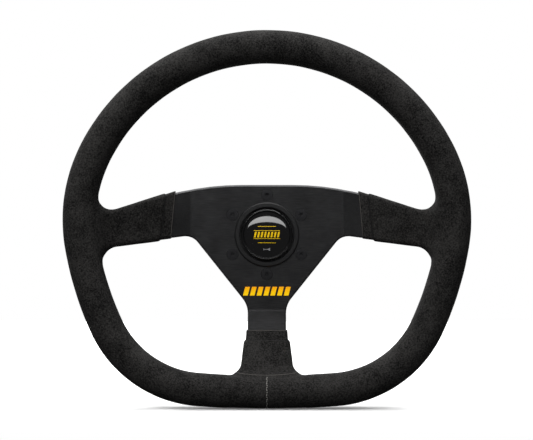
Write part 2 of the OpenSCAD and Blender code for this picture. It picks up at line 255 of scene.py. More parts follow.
def plain_surface(name, base, rough, grain_mm, depth_mm, metallic=0.0, coat=0.0):
    """One colour with the fine unevenness of its making, in gloss and in height."""
    material, tree = new_material(name)
    texture = grain(tree, grain_mm, detail=3.0)
    gloss = add_node(
        tree, "ShaderNodeMapRange", {"Value": texture, "To Min": rough * 0.8, "To Max": rough * 1.25}
    )
    bump = add_node(
        tree, "ShaderNodeBump", {"Height": texture, "Strength": 0.5, "Distance": depth_mm * MM}
    )
    surface(tree, {
        "Base Color": base,
        "Metallic": metallic,
        "IOR": 1.5,
        "Coat Weight": coat,
        "Coat Roughness": 0.04,
        "Roughness": gloss.outputs["Result"],
        "Normal": bump.outputs["Normal"],
    })
    return material


def poured_enamel(name, base, painted_shade):
    """Glossy enamel with painted shade: it turns warmer, towards orange, near the top of the plate's
    bars.
    """
    material, tree = new_material(name)
    place = add_node(tree, "ShaderNodeTexCoord")
    parts = add_node(tree, "ShaderNodeSeparateXYZ", {"Vector": place.outputs["Object"]})
    low, top = (BARS_LOW + 1.4) * MM, (BARS_TOP + 0.6) * MM
    height = add_node(
        tree, "ShaderNodeMapRange", {"Value": parts.outputs["Z"], "From Min": low, "From Max": top}
    )
    cloud = grain(tree, 3.0)
    mixed = add_node(
        tree,
        "ShaderNodeMix",
        {"Factor": 0.25, "A": height.outputs["Result"], "B": cloud},
        data_type="FLOAT",
    )
    # painted shade: the colour runs from yellow low on each bar to orange at its top, by height alone
    colour = add_node(
        tree, "ShaderNodeValToRGB", {"Fac": mixed.outputs["Result"]}, ((0.2, base), (0.95, painted_shade))
    )
    surface(tree, {
        "Base Color": colour.outputs["Color"],
        "Roughness": 0.28,
        "Coat Weight": 0.4,
        # a little light of its own keeps the colour lively under the dim studio light
        "Emission Color": colour.outputs["Color"],
        "Emission Strength": 0.35,
    })
    return material


MATERIALS = {}


def make_materials(colours):
    """Every finish on the wheel, by name."""
    suede = tuple(colours.suede)
    suede_light = tuple(colours.suede_light)
    made = [
        napped_suede("suede_napped", suede, suede_light),
        napped_suede("suede_hem", shaded(suede, 0.9), suede_light),
        brushed_black_anodised("aluminium_brushed_black_anodised", tuple(colours.plate)),
        turned_metal("aluminium_turned_black_anodised", tuple(colours.hub), 0.38),
        turned_metal("aluminium_turned_clear_anodised", tuple(colours.collar), 0.3),
        # black oxide on a rolled screw: dark, with a dull metal gloss
        plain_surface("steel_black_oxide", linear("#3c3c3e"), 0.42, 1.2, 0.02, metallic=0.9),
        # drawn spring wire: bright, and faintly uneven from the die
        plain_surface("steel_drawn_wire", linear("#9a9b9f"), 0.28, 0.8, 0.01, metallic=1.0),
        # ground and polished balls
        plain_surface("steel_polished", linear("#c3c5c9"), 0.08, 2.0, 0.002, metallic=1.0),
        # stamped brass
        plain_surface("brass_stamped", linear("#b8924a"), 0.3, 1.5, 0.01, metallic=1.0),
        # ABS from a spark-eroded mould: satin with a fine orange peel
        plain_surface("abs_moulded_satin", linear("#161617"), 0.46, 0.5, 0.02),
        # ABS from a polished mould under clear lacquer
        plain_surface("abs_polished_lacquered", linear("#070708"), 0.1, 6.0, 0.002, coat=0.6),
        # polyurethane resin poured over a printed label: black, deep and glassy
        plain_surface("resin_domed_label", linear("#060607"), 0.05, 9.0, 0.001, coat=1.0),
        # screen print and enamel
        # the enamel's orange towards the top of the bars is painted shade
        poured_enamel("enamel_yellow", tuple(colours.marks), linear("#f59a00")),
        plain_surface("print_yellow", linear("#ffd200"), 0.3, 0.8, 0.005),
        plain_surface("print_grey", linear("#9a9a9c"), 0.35, 0.8, 0.005),
        # bonded polyester thread
        plain_surface("thread_polyester_grey", tuple(colours.thread), 0.7, 0.3, 0.03),
        plain_surface("thread_polyester_black", linear("#0f0f10"), 0.7, 0.3, 0.03),
        # cut edge of the hide, pale where the dye has not reached
        plain_surface("leather_raw_edge", linear("#5f5c59"), 0.85, 0.5, 0.05),
        # nitrile rubber, moulded
        plain_surface("rubber_moulded", linear("#141415"), 0.62, 0.4, 0.03),
        # polyurethane foam with an open skin
        plain_surface("foam_moulded", linear("#3a3a3c"), 0.9, 1.5, 0.2),
    ]
    MATERIALS.update({m.name: m for m in made})


# ---------------------------------------------------------------- mesh helpers


def finish_piece(obj, material, body="wheel", replaces=(), sharp=35):
    """Material, smooth shading with creases, and its place in the frame."""
    obj.data.materials.clear()
    obj.data.materials.append(MATERIALS[material])
    obj.data.polygons.foreach_set("use_smooth", [True] * len(obj.data.polygons))
    obj.data.set_sharp_from_angle(angle=math.radians(sharp))
    if sharp < 90:
        # large flat faces keep their own normals beside small rounded ones
        modifier = obj.modifiers.new("normals", "WEIGHTED_NORMAL")
        modifier.keep_sharp = True
        apply_modifiers(obj)
    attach(obj, body)
    if replaces:
        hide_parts(*replaces)
    return obj


def at(x, y, z):
    """A place in metres from one in mm, with y counted from the plate's back face."""
    return (x * MM, PLATE_BACK + y * MM, z * MM)


def linked(name, mesh):
    """An object in the scene that has this mesh."""
    obj = bpy.data.objects.new(name, mesh)
    bpy.context.scene.collection.objects.link(obj)
    return obj


def new_object(name, vertices, faces):
    """An object in the scene from vertices in metres and faces."""
    mesh = bpy.data.meshes.new(name)
    mesh.from_pydata(vertices, [], faces)
    mesh.update()
    return linked(name, mesh)


def built(name, bm):
    """An object in the scene from a bmesh, which is freed."""
    mesh = bpy.data.meshes.new(name)
    bm.to_mesh(mesh)
    bm.free()
    return linked(name, mesh)


def apply_modifiers(obj):
    """The object's mesh with its modifiers built in."""
    graph = bpy.context.evaluated_depsgraph_get()
    mesh = bpy.data.meshes.new_from_object(obj.evaluated_get(graph))
    obj.modifiers.clear()
    obj.data = mesh
    return obj


def bevel(obj, width_mm, segments):
    """The object with its edges sharper than 30 degrees rounded."""
    modifier = obj.modifiers.new("bevel", "BEVEL")
    modifier.width = width_mm * MM
    modifier.segments = segments
    modifier.limit_method = "ANGLE"
    modifier.angle_limit = math.radians(30)
    return apply_modifiers(obj)


def lathe(name, profile):
    """Solid of revolution round the steering axis from a closed profile of (radius, y) in mm."""
    bm = bmesh.new()
    columns = []
    for i in range(LATHE_SIDES):
        a = 2 * math.pi * i / LATHE_SIDES
        columns.append([bm.verts.new(at(r * math.cos(a), y, r * math.sin(a))) for r, y in profile])
    for here, there in zip(columns, columns[1:] + columns[:1]):
        for k in range(len(profile)):
            after = (k + 1) % len(profile)
            if profile[k][0] > 0 or profile[after][0] > 0:
                bm.faces.new((here[k], here[after], there[after], there[k]))
    bmesh.ops.remove_doubles(bm, verts=bm.verts, dist=SAME_SPOT)
    bmesh.ops.recalc_face_normals(bm, faces=bm.faces)
    return built(name, bm)


def tube(name, paths, radius_mm, sides=6):
    """Thread along each of several lists of points, in metres, with tapered closed ends."""
    vertices, faces = [], []
    for path in paths:
        points = [Vector(p) for p in path]
        base = len(vertices)
        last = len(points) - 1
        side = None
        for i, point in enumerate(points):
            ahead = (points[min(i + 1, last)] - points[max(i - 1, 0)]).normalized()
            if side is None:
                side = ahead.orthogonal().normalized()
            side = (side - ahead * side.dot(ahead)).normalized()
            up = ahead.cross(side)
            taper = 0.55 if i in (0, last) else 1.0
            for k in range(sides):
                a = 2 * math.pi * k / sides
                round_it = side * math.cos(a) + up * math.sin(a)
                vertices.append(point + round_it * radius_mm * MM * taper)
        for i in range(last):
            for k in range(sides):
                a, b = base + i * sides + k, base + i * sides + (k + 1) % sides
                faces.append((a, b, b + sides, a + sides))
        faces.append([base + k for k in reversed(range(sides))])
        faces.append([base + last * sides + k for k in range(sides)])
    return new_object(name, vertices, faces)


def prism(name, outline, front_mm, back_mm):
    """Flat piece in X and Z (mm), from one y to another."""
    count = len(outline)
    vertices = [at(x, y, z) for y in (front_mm, back_mm) for x, z in outline]
    faces = [list(range(count)), list(reversed(range(count, 2 * count)))]
    faces += [((i + 1) % count, i, i + count, (i + 1) % count + count) for i in range(count)]
    obj = new_object(name, vertices, faces)
    bm = bmesh.new()
    bm.from_mesh(obj.data)
    bmesh.ops.recalc_face_normals(bm, faces=bm.faces)
    bm.to_mesh(obj.data)
    bm.free()
    return obj


def join(name, objects):
    """One object from several."""
    bm = bmesh.new()
    for obj in objects:
        bm.from_mesh(obj.data)
        bpy.data.objects.remove(obj)
    return built(name, bm)


def node_copy(node, flat_degrees):
    """A bmesh of a CAD node with shared corners, and with flat faces made whole where asked."""
    bm = bmesh.new()
    bm.from_mesh(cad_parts[node].data)
    bmesh.ops.remove_doubles(bm, verts=bm.verts, dist=SAME_SPOT)
    if flat_degrees:
        limit = math.radians(flat_degrees)
        bmesh.ops.dissolve_limit(bm, angle_limit=limit, verts=bm.verts, edges=bm.edges)
    return bm


def corner_edges(bm):
    """The edges where two faces meet at more than 50 degrees."""
    limit = math.radians(50)
    return [e for e in bm.edges if len(e.link_faces) == 2 and e.calc_face_angle() > limit]


def refined(name, node, material, body, slot, edge_mm=0.0, sharp=30):
    """A copy of a CAD node with flat faces made whole, eased edges and clean creases."""
    bm = node_copy(node, 0.5 if edge_mm else 0)
    if edge_mm:
        bmesh.ops.bevel(
            bm, geom=corner_edges(bm), offset=edge_mm * MM, segments=2, profile=0.5, affect="EDGES"
        )
        bmesh.ops.triangulate(bm, faces=[f for f in bm.faces if len(f.verts) > 4])
    return finish_piece(built(name, bm), material, body, (node,), sharp)


# ---------------------------------------------------------------- rim path


def rim_arcs():
    """The right half of the rim path as (centre x, centre z, radius, first heading, last heading)."""
    arcs, x, z, heading = [], 0.0, RIM_TOP, 0.0
    for radius, turn in RIM_ARCS:
        after = heading + math.radians(turn)
        cx, cz = x - radius * math.sin(heading), z - radius * math.cos(heading)
        arcs.append((cx, cz, radius, heading, after))
        x, z, heading = cx + radius * math.sin(after), cz + radius * math.cos(after), after
    radius = x / math.sin(heading)
    arcs.append((0.0, z - radius * math.cos(heading), radius, heading, math.pi))
    return arcs


ARCS = rim_arcs()


def rim_point(heading):
    """Point (x, z) in mm on the rim's centreline at a heading in degrees, negative on the left."""
    h = math.radians(abs(heading))
    for cx, cz, radius, first, last in ARCS:
        if h <= last + 1e-9:
            return math.copysign(cx + radius * math.sin(h), heading), cz + radius * math.cos(h)


def rim_distance(x, z):
    """Distance in the XZ plane, in mm, from the rim's centreline."""
    x = np.abs(x)
    best = None
    for cx, cz, radius, first, last in ARCS:
        heading = np.clip(np.arctan2(x - cx, z - cz), first, last)
        far = np.hypot(x - cx - radius * np.sin(heading), z - cz - radius * np.cos(heading))
        best = far if best is None else np.minimum(best, far)
    return best


# ---------------------------------------------------------------- suede skin as a distance field


def soft_min(a, b, k):
    """Union of two fields, blended over a width k."""
    h = np.clip(0.5 + 0.5 * (b - a) / k, 0, 1)
    return b + (a - b) * h - k * h * (1 - h)


def soft_max(a, b, k):
    """What two fields share, blended over a width k."""
    return -soft_min(-a, -b, k)


def filleted(a, b, r):
    """Union of two fields with a fillet of radius r between them."""
    return np.maximum(r, np.minimum(a, b)) - np.hypot(np.maximum(r - a, 0), np.maximum(r - b, 0))


def rounded_bar(t, across, half_t, half_across, r):
    """Distance from a bar's section, an oblong with corners of radius r."""
    q1 = np.abs(t) - (half_t - r)
    q2 = np.abs(across) - (half_across - r)
    return np.hypot(np.maximum(q1, 0), np.maximum(q2, 0)) + np.minimum(np.maximum(q1, q2), 0) - r


def slanted(x, slant, z):
    """Where a sleeve's slanted seam is along X at height z, from its x at SEAM_TOP."""
    return x + (SEAM_TOP - z) * slant


def edge_z(edge, x):
    """Height of a side spoke's straight edge at x."""
    first_x, first_z, rise = edge
    return first_z + (x - first_x) * rise


def side_arm(x, y, z, half_t, grow, seam_x, slant, last_x, blend):
    """Sleeve round a side spoke, grown past its edges, from a slanted seam to a distance along X."""
    x = np.abs(x)
    cos, sin = math.cos(SIDE_ANGLE), math.sin(SIDE_ANGLE)
    dx, dy = x - BEND_AT, y + PLATE_T / 2
    t = dx * sin + dy * cos
    top = edge_z(SPOKE_TOP, x) + grow
    low = edge_z(SPOKE_LOW, x) - grow
    bar = rounded_bar(t, z - (top + low) / 2, half_t, (top - low) / 2, half_t * 0.92)
    start = slanted(seam_x, slant, z) - x
    return soft_max(soft_max(bar, start, blend), x - last_x, blend)


def stem_arm(x, y, z, half_t, first, half_width, flare, last, blend):
    """Sleeve round the bottom spoke, widening down from a first to a last distance below the axis."""
    cos, sin = math.cos(STEM_ANGLE), math.sin(STEM_ANGLE)
    dz, dy = -z - BEND_AT, y + PLATE_T / 2
    t = dz * sin + dy * cos
    half = half_width + (-z - first) * flare
    bar = rounded_bar(t, x, half_t, half, half_t * 0.92)
    return soft_max(soft_max(bar, first + z, blend), -z - last, blend)


def grip_field(x, y, z):
    """Rim and sleeves under one suede skin."""
    ring = np.hypot(rim_distance(x, z), np.maximum(np.abs(y + DISH) - GRIP_FLAT, 0)) - GRIP_R
    side = side_arm(x, y, z, SLEEVE_HALF_T, 1.6, SEAM_X, SEAM_SLANT, last_x=152, blend=2.4)
    stem = stem_arm(x, y, z, SLEEVE_HALF_T, STEM_SEAM, 20.1, flare=0.115, last=130, blend=3.6)
    # the fillet above each side sleeve is larger than the one below: it grows over the spoke's width
    climb = np.clip((z + 2) / 30, 0, 1)
    smooth = climb * climb * (3 - 2 * climb)
    side_fillet = SIDE_FILLET_LOW + (SIDE_FILLET_TOP - SIDE_FILLET_LOW) * smooth
    return filleted(filleted(ring, side, side_fillet), stem, STEM_FILLET)


def side_hem_field(x, y, z):
    """Hem that runs under the inner end of a side sleeve."""
    return side_arm(x, y, z, HEM_HALF_T, 0.6, HEM_X, HEM_SLANT, last_x=94, blend=0.7)


def stem_hem_field(x, y, z):
    """Hem that runs under the upper end of the bottom sleeve."""
    return stem_arm(x, y, z, HEM_HALF_T, STEM_HEM, 18.1, flare=0.06, last=95, blend=0.7)


def surface_net(field, low, high, step):
    """Quads over the zero surface of a field, one vertex per cell it passes through. All in mm."""
    axes = [np.arange(low[i], high[i] + step, step) for i in range(3)]
    value = field(axes[0][:, None, None], axes[1][None, :, None], axes[2][None, None, :])
    inside = value < 0
    total = np.zeros([n - 1 for n in value.shape], np.int8)
    for i in (0, 1):
        for j in (0, 1):
            for k in (0, 1):
                total += inside[i : i + total.shape[0], j : j + total.shape[1], k : k + total.shape[2]]
    cells = np.argwhere((total > 0) & (total < 8))
    number = -np.ones(total.shape, np.int64)
    number[tuple(cells.T)] = np.arange(len(cells))
    corners = [np.array(c) for c in np.ndindex(2, 2, 2)]
    place, hits = np.zeros((len(cells), 3)), np.zeros(len(cells))
    for a in corners:
        for axis in range(3):
            if a[axis]:
                continue
            b = a.copy()
            b[axis] = 1
            va, vb = value[tuple((cells + a).T)], value[tuple((cells + b).T)]
            cross = (va < 0) != (vb < 0)
            share = np.where(cross, va / np.where(cross, va - vb, 1), 0)
            place[cross] += (a + share[:, None] * (b - a))[cross]
            hits += cross
    points = np.array(low) + (cells + place / hits[:, None]) * step
    quads = []
    for axis in range(3):
        u, v = (axis + 1) % 3, (axis + 2) % 3
        near = [slice(None)] * 3
        far = [slice(None)] * 3
        near[axis], far[axis] = slice(0, -1), slice(1, None)
        for way in (True, False):
            a, b = inside[tuple(near)], inside[tuple(far)]
            edges = np.argwhere((a & ~b) if way else (~a & b))
            edges = edges[(edges[:, u] > 0) & (edges[:, v] > 0)]
            edges = edges[(edges[:, u] < number.shape[u]) & (edges[:, v] < number.shape[v])]
            ring = []
            for du, dv in ((-1, -1), (0, -1), (0, 0), (-1, 0)):
                cell = edges.copy()
                cell[:, u] += du
                cell[:, v] += dv
                ring.append(number[tuple(cell.T)])
            quad = np.stack(ring, 1)
            quads.append(quad if way else quad[:, ::-1])
    return points, np.concatenate(quads)


def relaxed(field, points, quads, rounds=3):
    """Evens out a net's vertices and puts them back on the surface."""
    count = len(points)
    for _ in range(rounds):
        spread, hits = np.zeros((count, 3)), np.zeros(count)
        for a, b in ((0, 1), (1, 2), (2, 3), (3, 0)):
            np.add.at(spread, quads[:, a], points[quads[:, b]])
            np.add.at(spread, quads[:, b], points[quads[:, a]])
            np.add.at(hits, quads[:, a], 1)
            np.add.at(hits, quads[:, b], 1)
        points = points * 0.4 + spread / hits[:, None] * 0.6
        for _ in range(2):
            points = points - normals_of(field, points)[1]
    return points


def normals_of(field, points):
    """Unit normals, and the step from the surface to each point."""
    reach = 0.05
    x, y, z = points.T
    value = field(x, y, z)
    slope = np.stack([
        field(x + reach, y, z) - field(x - reach, y, z),
        field(x, y + reach, z) - field(x, y - reach, z),
        field(x, y, z + reach) - field(x, y, z - reach),
    ], 1) / (2 * reach)
    size = np.maximum((slope**2).sum(1), 1e-4)
    return slope / np.sqrt(size)[:, None], slope * (value / size)[:, None]


def skin(name, field, low, high, step, sunk=None):
    """An object over a field's surface, sunk in along its normals where asked. All in mm."""
    points, quads = surface_net(field, low, high, step)
    points = relaxed(field, points, quads)
    if sunk is not None:
        points = points - normals_of(field, points)[0] * sunk(points)[:, None]
    points = points * MM + np.array([0, PLATE_BACK, 0])
    return new_object(name, points.tolist(), quads.tolist())


def groove(off, depth, half_width):
    """Depth of a rounded groove at a distance off its middle."""
    return depth * np.exp(-((off / half_width) ** 2))


def seam_grooves(points):
    """How deep, in mm, the suede is drawn in along its seams and how it lies between them."""
    x, y, z = points.T
    away = rim_distance(x, z)
    depth = np.zeros(len(x))
    bottom = (away < GRIP_R + 2) & (z < -118) & (np.abs(x) < 6)
    depth[bottom] += groove(x[bottom], 0.55, 1.1)
    # the bottom sleeve's seam sags a little to the sides
    stem = (z < -112) & (np.abs(x) < 34) & (y > -DISH - GRIP_R)
    seam = 13.6 + 0.9 * (x / 30) ** 2
    depth[stem] += groove((away - seam)[stem], 0.5, 1.0)
    side = (np.abs(x) > 125) & (z > -24) & (z < SEAM_TOP)
    depth[side] += groove((away - 15.5)[side], 0.3, 1.2)
    ripple = np.sin(x * 0.19 + 1.3 * np.sin(z * 0.11)) * np.sin(z * 0.17 + y * 0.21)
    return depth + 0.06 * ripple


def front_y(field, x, z, low=-60.0, high=-2.0, samples=1200):
    """Where a line along Y first meets a field's surface, in mm."""
    ys = np.linspace(low, high, samples)
    inside = field(np.full_like(ys, x), ys, np.full_like(ys, z)) < 0
    return ys[int(np.argmax(inside))] if inside.any() else None


def laid_on(field, spots):
    """Places in metres on the front of a field's surface, for spots (x, z) in mm."""
    found = [(x, front_y(field, x, z), z) for x, z in spots]
    return [at(x, y, z) for x, y, z in found if y is not None]


# ---------------------------------------------------------------- settings


def colour_prop(name, text, default):
    """A colour setting, with its default as sRGB hex."""
    return bpy.props.FloatVectorProperty(
        name=name, description=text, subtype="COLOR", size=4, min=0, max=1, default=linear(default)
    )


def length_prop(name, text, default_mm, low_mm, high_mm):
    """A length setting, with its default and limits in mm."""
    return bpy.props.FloatProperty(
        name=name,
        description=text,
        subtype="DISTANCE",
        unit="LENGTH",
        default=default_mm * MM,
        min=low_mm * MM,
        max=high_mm * MM,
    )


class WheelColours(bpy.types.PropertyGroup):
    """Colours of the finishes"""

    suede: colour_prop("Suede", "Colour of the suede in the depth of its nap", "#0a0a0a")
    suede_light: colour_prop("Suede nap", "Colour of the suede where the nap is brushed up", "#343332")
    plate: colour_prop("Plate", "Colour of the anodised spoke plate", "#3b3b3c")
    hub: colour_prop("Hub", "Colour of the anodised release hub", "#303034")
    collar: colour_prop("Collar", "Colour of the anodised release collar", "#a9abaf")
    marks: colour_prop("Marks", "Colour of the slanted bars on the plate", "#f7c600")
    thread: colour_prop("Thread", "Colour of the thread in the bottom seam", "#9c9a96")


class WheelSizes(bpy.types.PropertyGroup):
    """Sizes of the meshes, the plate's chamfer and the thread"""

    net: length_prop("Suede mesh", "Size of the faces of the suede skin", 1.25, 0.8, 3)
    hem_net: length_prop("Hem mesh", "Size of the faces of the hems", 0.6, 0.4, 1.5)
    plate_edge: length_prop("Plate edge", "Width of the chamfer round the spoke plate", 1.4, 0.2, 1.8)
    stitch: length_prop("Stitch", "Length of one stitch on the rim's inner seam", 3.2, 2, 6)
    thread: length_prop("Thread", "Radius of the sewing thread", 0.3, 0.15, 0.6)


# ---------------------------------------------------------------- stage, in metres

CAMERA_AWAY = 1.2
CAMERA_LENS = 94.5
CAMERA_SHIFT = (-0.00075, 0.0274)
WHITE = (1.0, 1.0, 1.0, 1.0)

# name, place, aimed at, size, watts
LIGHTS = (
    ("key_front_left", (-0.45, -1.15, 1.15), (-0.06, -0.1, 0.0), (0.7, 0.7), 19),
    ("floor_wash", (0.0, 0.35, 2.3), (0, 0.25, -0.15), (2.8, 2.2), 110),
    ("back_fill", (-0.9, 1.5, 0.5), (0, -0.03, 0), (1.6, 1.2), 20),
)


def mixed_for_camera(tree, hidden, seen):
    """Socket of a mix that shows one shader to the camera and the other to every bounce of light."""
    path = add_node(tree, "ShaderNodeLightPath")
    seen_ray = path.outputs["Is Camera Ray"]
    mixed = add_node(tree, "ShaderNodeMixShader", {"Fac": seen_ray, 1: hidden, 2: seen})
    return mixed.outputs["Shader"]


def add_camera(scene, rim_y):
    """Level camera straight in front of the rim's centre."""
    camera = bpy.data.cameras.new("camera")
    camera.lens = CAMERA_LENS
    camera.sensor_width = 36
    camera.shift_x, camera.shift_y = CAMERA_SHIFT
    holder = bpy.data.objects.new("camera", camera)
    holder.location = (0, rim_y - CAMERA_AWAY, 0)
    holder.rotation_euler = (math.radians(90), 0, 0)
    scene.collection.objects.link(holder)
    scene.camera = holder


def add_floor():
    """White paper floor under the rim. It starts where the dome doesn't mirror it."""
    ground = -(RIM_BOTTOM + GRIP_R) * MM
    front, back, half = -0.24, 1.1, 1.3
    corners = [(x, y, ground) for y in (front, back) for x in (-half, half)]
    floor = new_object("floor", corners, [(0, 1, 3, 2)])
    material, tree = new_material("paper_white")
    stops = ((0.3, linear("#f6f6f6")), (0.7, linear("#fbfbfb")))
    colour = add_node(tree, "ShaderNodeValToRGB", {"Fac": grain(tree, 300)}, stops)
    paper = add_node(tree, "ShaderNodeBsdfPrincipled", {
        "Base Color": colour.outputs["Color"],
        "Roughness": 0.9,
        "Emission Color": WHITE,
        "Emission Strength": 0.12,
    })
    # it throws little light back up, so that the rim's underside stays dark
    dim = add_node(tree, "ShaderNodeBsdfDiffuse", {"Color": linear("#5a5a5a")})
    mixed = mixed_for_camera(tree, dim.outputs["BSDF"], paper.outputs["BSDF"])
    add_node(tree, "ShaderNodeOutputMaterial", {"Surface": mixed})
    floor.data.materials.append(material)


def add_arch(rim_y):
    """Arched softbox round the camera: its reflection is the crescent on the horn button's dome."""
    away, half, foot, rise, drop = 1.25, 0.79, 0.25, 0.49, 0.23
    count = 40
    upper, lower = [], []
    for k in range(count + 1):
        # it stops a little short of both feet
        a = math.pi * (0.02 + 0.96 * k / count)
        upper.append((half * math.cos(a), rim_y - away, foot + rise * math.sin(a)))
        lower.append((half * math.cos(a), rim_y - away, foot + drop * math.sin(a)))
    faces = [(k, k + 1, k + count + 2, k + count + 1) for k in range(count)]
    card = new_object("arch_softbox", upper + lower, faces)
    material, tree = new_material("softbox_cloth")
    surface(tree, {"Roughness": 1.0, "Emission Color": WHITE, "Emission Strength": 3.6})
    card.data.materials.append(material)
    card.visible_camera = False


def add_lights(scene):
    """Three area lights: key, wash over the floor, and fill from behind."""
    for name, place, aim, size, power in LIGHTS:
        data = bpy.data.lights.new(name, "AREA")
        data.shape = "RECTANGLE"
        data.size, data.size_y = size
        data.energy = power
        lamp = bpy.data.objects.new(name, data)
        lamp.location = place
        lamp.rotation_euler = (Vector(aim) - Vector(place)).to_track_quat("-Z", "Y").to_euler()
        # the key is kept out of the gloss, so that the dome mirrors the arch alone
        lamp.visible_glossy = name != "key_front_left"
        scene.collection.objects.link(lamp)


def add_world(scene):
    """Dim room, so that gloss stays black, and plain white where it is looked at."""
    world = bpy.data.worlds.new("studio")
    world.use_nodes = True
    tree = world.node_tree
    tree.nodes.clear()
    room = add_node(tree, "ShaderNodeBackground", {"Color": WHITE, "Strength": 0.09})
    paper = add_node(tree, "ShaderNodeBackground", {"Color": WHITE, "Strength": 1.0})
    mixed = mixed_for_camera(tree, room.outputs["Background"], paper.outputs["Background"])
    add_node(tree, "ShaderNodeOutputWorld", {"Surface": mixed})
    scene.world = world


class WHEEL_OT_stage(bpy.types.Operator):
    """Camera, floor and studio lights"""

    bl_idname = "wheel.stage"
    bl_label = "Stage"

    def execute(self, context):
        scene = context.scene
        rim_y = PLATE_BACK - DISH * MM
        add_camera(scene, rim_y)
        add_floor()
        add_arch(rim_y)
        add_lights(scene)
        add_world(scene)
        scene.view_settings.view_transform = "Standard"
        return {"FINISHED"}


# ---------------------------------------------------------------- suede and thread


class WHEEL_OT_suede(bpy.types.Operator):
    """Suede skin over the rim and the three sleeves, drawn in along its seams"""

    bl_idname = "wheel.suede"
    bl_label = "Suede grip"

    def execute(self, context):
        step = context.scene.wheel_sizes.net / MM
        # corners of the room that the skin is looked for in, a little outside it
        low = (-RIM_SIDE - 17.3, -DISH - 20, -RIM_BOTTOM - 17.2)
        high = (RIM_SIDE + 17.3, -PLATE_T, RIM_TOP + 17.1)
        grip = skin("suede_grip", grip_field, low, high, step, seam_grooves)
        covered = ("rim_cover", "spoke_wrap_left", "spoke_wrap_right", "spoke_wrap_bottom")
        finish_piece(grip, "suede_napped", replaces=covered, sharp=180)
        return {"FINISHED"}


class WHEEL_OT_hems(bpy.types.Operator):
    """Folded hems at the inner ends of the sleeves"""

    bl_idname = "wheel.hems"
    bl_label = "Sleeve hems"

    def execute(self, context):
        step = context.scene.wheel_sizes.hem_net / MM
        # side or bottom, field, and the lowest and highest corners of the room it is looked for in
        hems = (
            ("left", side_hem_field, (-96, -24, -12), (-76, -0.5, 44)),
            ("right", side_hem_field, (76, -24, -12), (96, -0.5, 44)),
            ("bottom", stem_hem_field, (-24, -24, -97), (24, -2, -79)),
        )
        for where, field, low, high in hems:
            hem = skin("sleeve_hem_" + where, field, low, high, step)
            finish_piece(hem, "suede_hem", replaces=("spoke_hem_" + where,), sharp=180)
        return {"FINISHED"}


def bottom_seam(thread):
    """Butt seam across the bottom of the rim, closed with short, slightly uneven stitches."""
    rng = np.random.default_rng(7)
    # stitches, and degrees round the section: where they start, their pitch and their length
    count, first, pitch, length = 26, -78, 8.6, 6.4
    ground = GRIP_R - 0.15
    stitches = []
    for k in range(count):
        start = math.radians(first + k * pitch)
        path = []
        for s in np.linspace(0, 1, 5):
            a = start + math.radians(length) * s
            drop, push = ground * math.sin(a), ground * math.cos(a)
            wobble = 0.22 * math.sin(k * 2.4 + 3 * s) + rng.normal(0, 0.03)
            y = -DISH - math.copysign(GRIP_FLAT, push) * min(1, abs(push) / 4) - push
            path.append(at(wobble, y, -RIM_BOTTOM - drop))
        stitches.append(path)
    seam = tube("bottom_seam_thread", stitches, thread * 0.8)
    finish_piece(seam, "thread_polyester_grey")


def hem_threads():
    """Pale raw edges of the hems, and the dark thread in the seams behind them, which is partly real
    thread and partly painted shade for the seams' grooves.
    """
    raw, seams = [], []
    # how far the raw edges lie inside the hems' ends
    inset = 0.35
    for sign in (-1, 1):
        raw.append(laid_on(side_hem_field, [
            (sign * slanted(HEM_X + inset, HEM_SLANT, z), z) for z in np.linspace(-2.9, 38.2, 30)
        ]))
        seams.append(laid_on(side_hem_field, [
            (sign * slanted(SEAM_X - 0.2, SEAM_SLANT, z), z) for z in np.linspace(-3.4, 35.2, 40)
        ]))
    raw.append(laid_on(stem_hem_field, [(x, -STEM_HEM - inset) for x in np.linspace(-17.4, 17.4, 24)]))
    seams.append(laid_on(stem_hem_field, [(x, -STEM_SEAM - 0.9) for x in np.linspace(-18.6, 18.6, 24)]))
    # the bottom sleeve meets the rim along a slightly sagging line
    half, middle_z, sag = 27, -120.2, 1.9
    raw.append(laid_on(grip_field, [
        (x, middle_z + sag * (x / half) ** 2) for x in np.linspace(-half, half, 40)
    ]))
    edge_r, seam_r = 0.17, 0.45
    finish_piece(tube("hem_raw_edges", raw, edge_r), "leather_raw_edge")
    # painted shade: this black thread also darkens each seam behind a hem, where the sleeve's edge
    # casts no shadow under this light
    finish_piece(tube("hem_seam_thread_painted_shade", seams, seam_r), "thread_polyester_black")


def inner_seam(thread, stitch):
    """Slanted stitches along the inner side of the rim, between the sleeves."""
    # headings in degrees: over the top, and between the side and the bottom sleeves
    stretches = ((-76, 76), (112, 171), (-171, -112))
    step = 0.5
    pitch = stitch * 1.45
    # degrees behind the section's inner side and turned along a stitch; mm proud and sunk at the ends
    behind, slant, proud, dip = 24, 10, 0.12, 0.9
    stitches = []
    for first, last in stretches:
        heading = first
        while heading < last:
            (x, z), (x2, z2) = rim_point(heading), rim_point(heading + step)
            ahead = Vector((x2 - x, 0, z2 - z)).normalized()
            inward = Vector((ahead.z, 0, -ahead.x))
            path = []
            for s in (-0.5, -0.25, 0.0, 0.25, 0.5):
                a = math.radians(behind + slant * s)
                out = GRIP_R * math.cos(a) + proud - dip * s * s
                spot = Vector((x, -DISH + GRIP_FLAT + GRIP_R * math.sin(a), z)) + inward * out
                path.append(at(*(spot + ahead * s * stitch)))
            stitches.append(path)
            heading += step * pitch / math.hypot(x2 - x, z2 - z)
    seam = tube("inner_seam_thread", stitches, thread)
    finish_piece(seam, "thread_polyester_black")


class WHEEL_OT_stitching(bpy.types.Operator):
    """Thread in the bottom seam, at the hems and along the rim's inner seam"""

    bl_idname = "wheel.stitching"
    bl_label = "Stitching"

    def execute(self, context):
        sizes = context.scene.wheel_sizes
        bottom_seam(sizes.thread / MM)
        hem_threads()
        inner_seam(sizes.thread / MM, sizes.stitch / MM)
        return {"FINISHED"}


# ---------------------------------------------------------------- plate


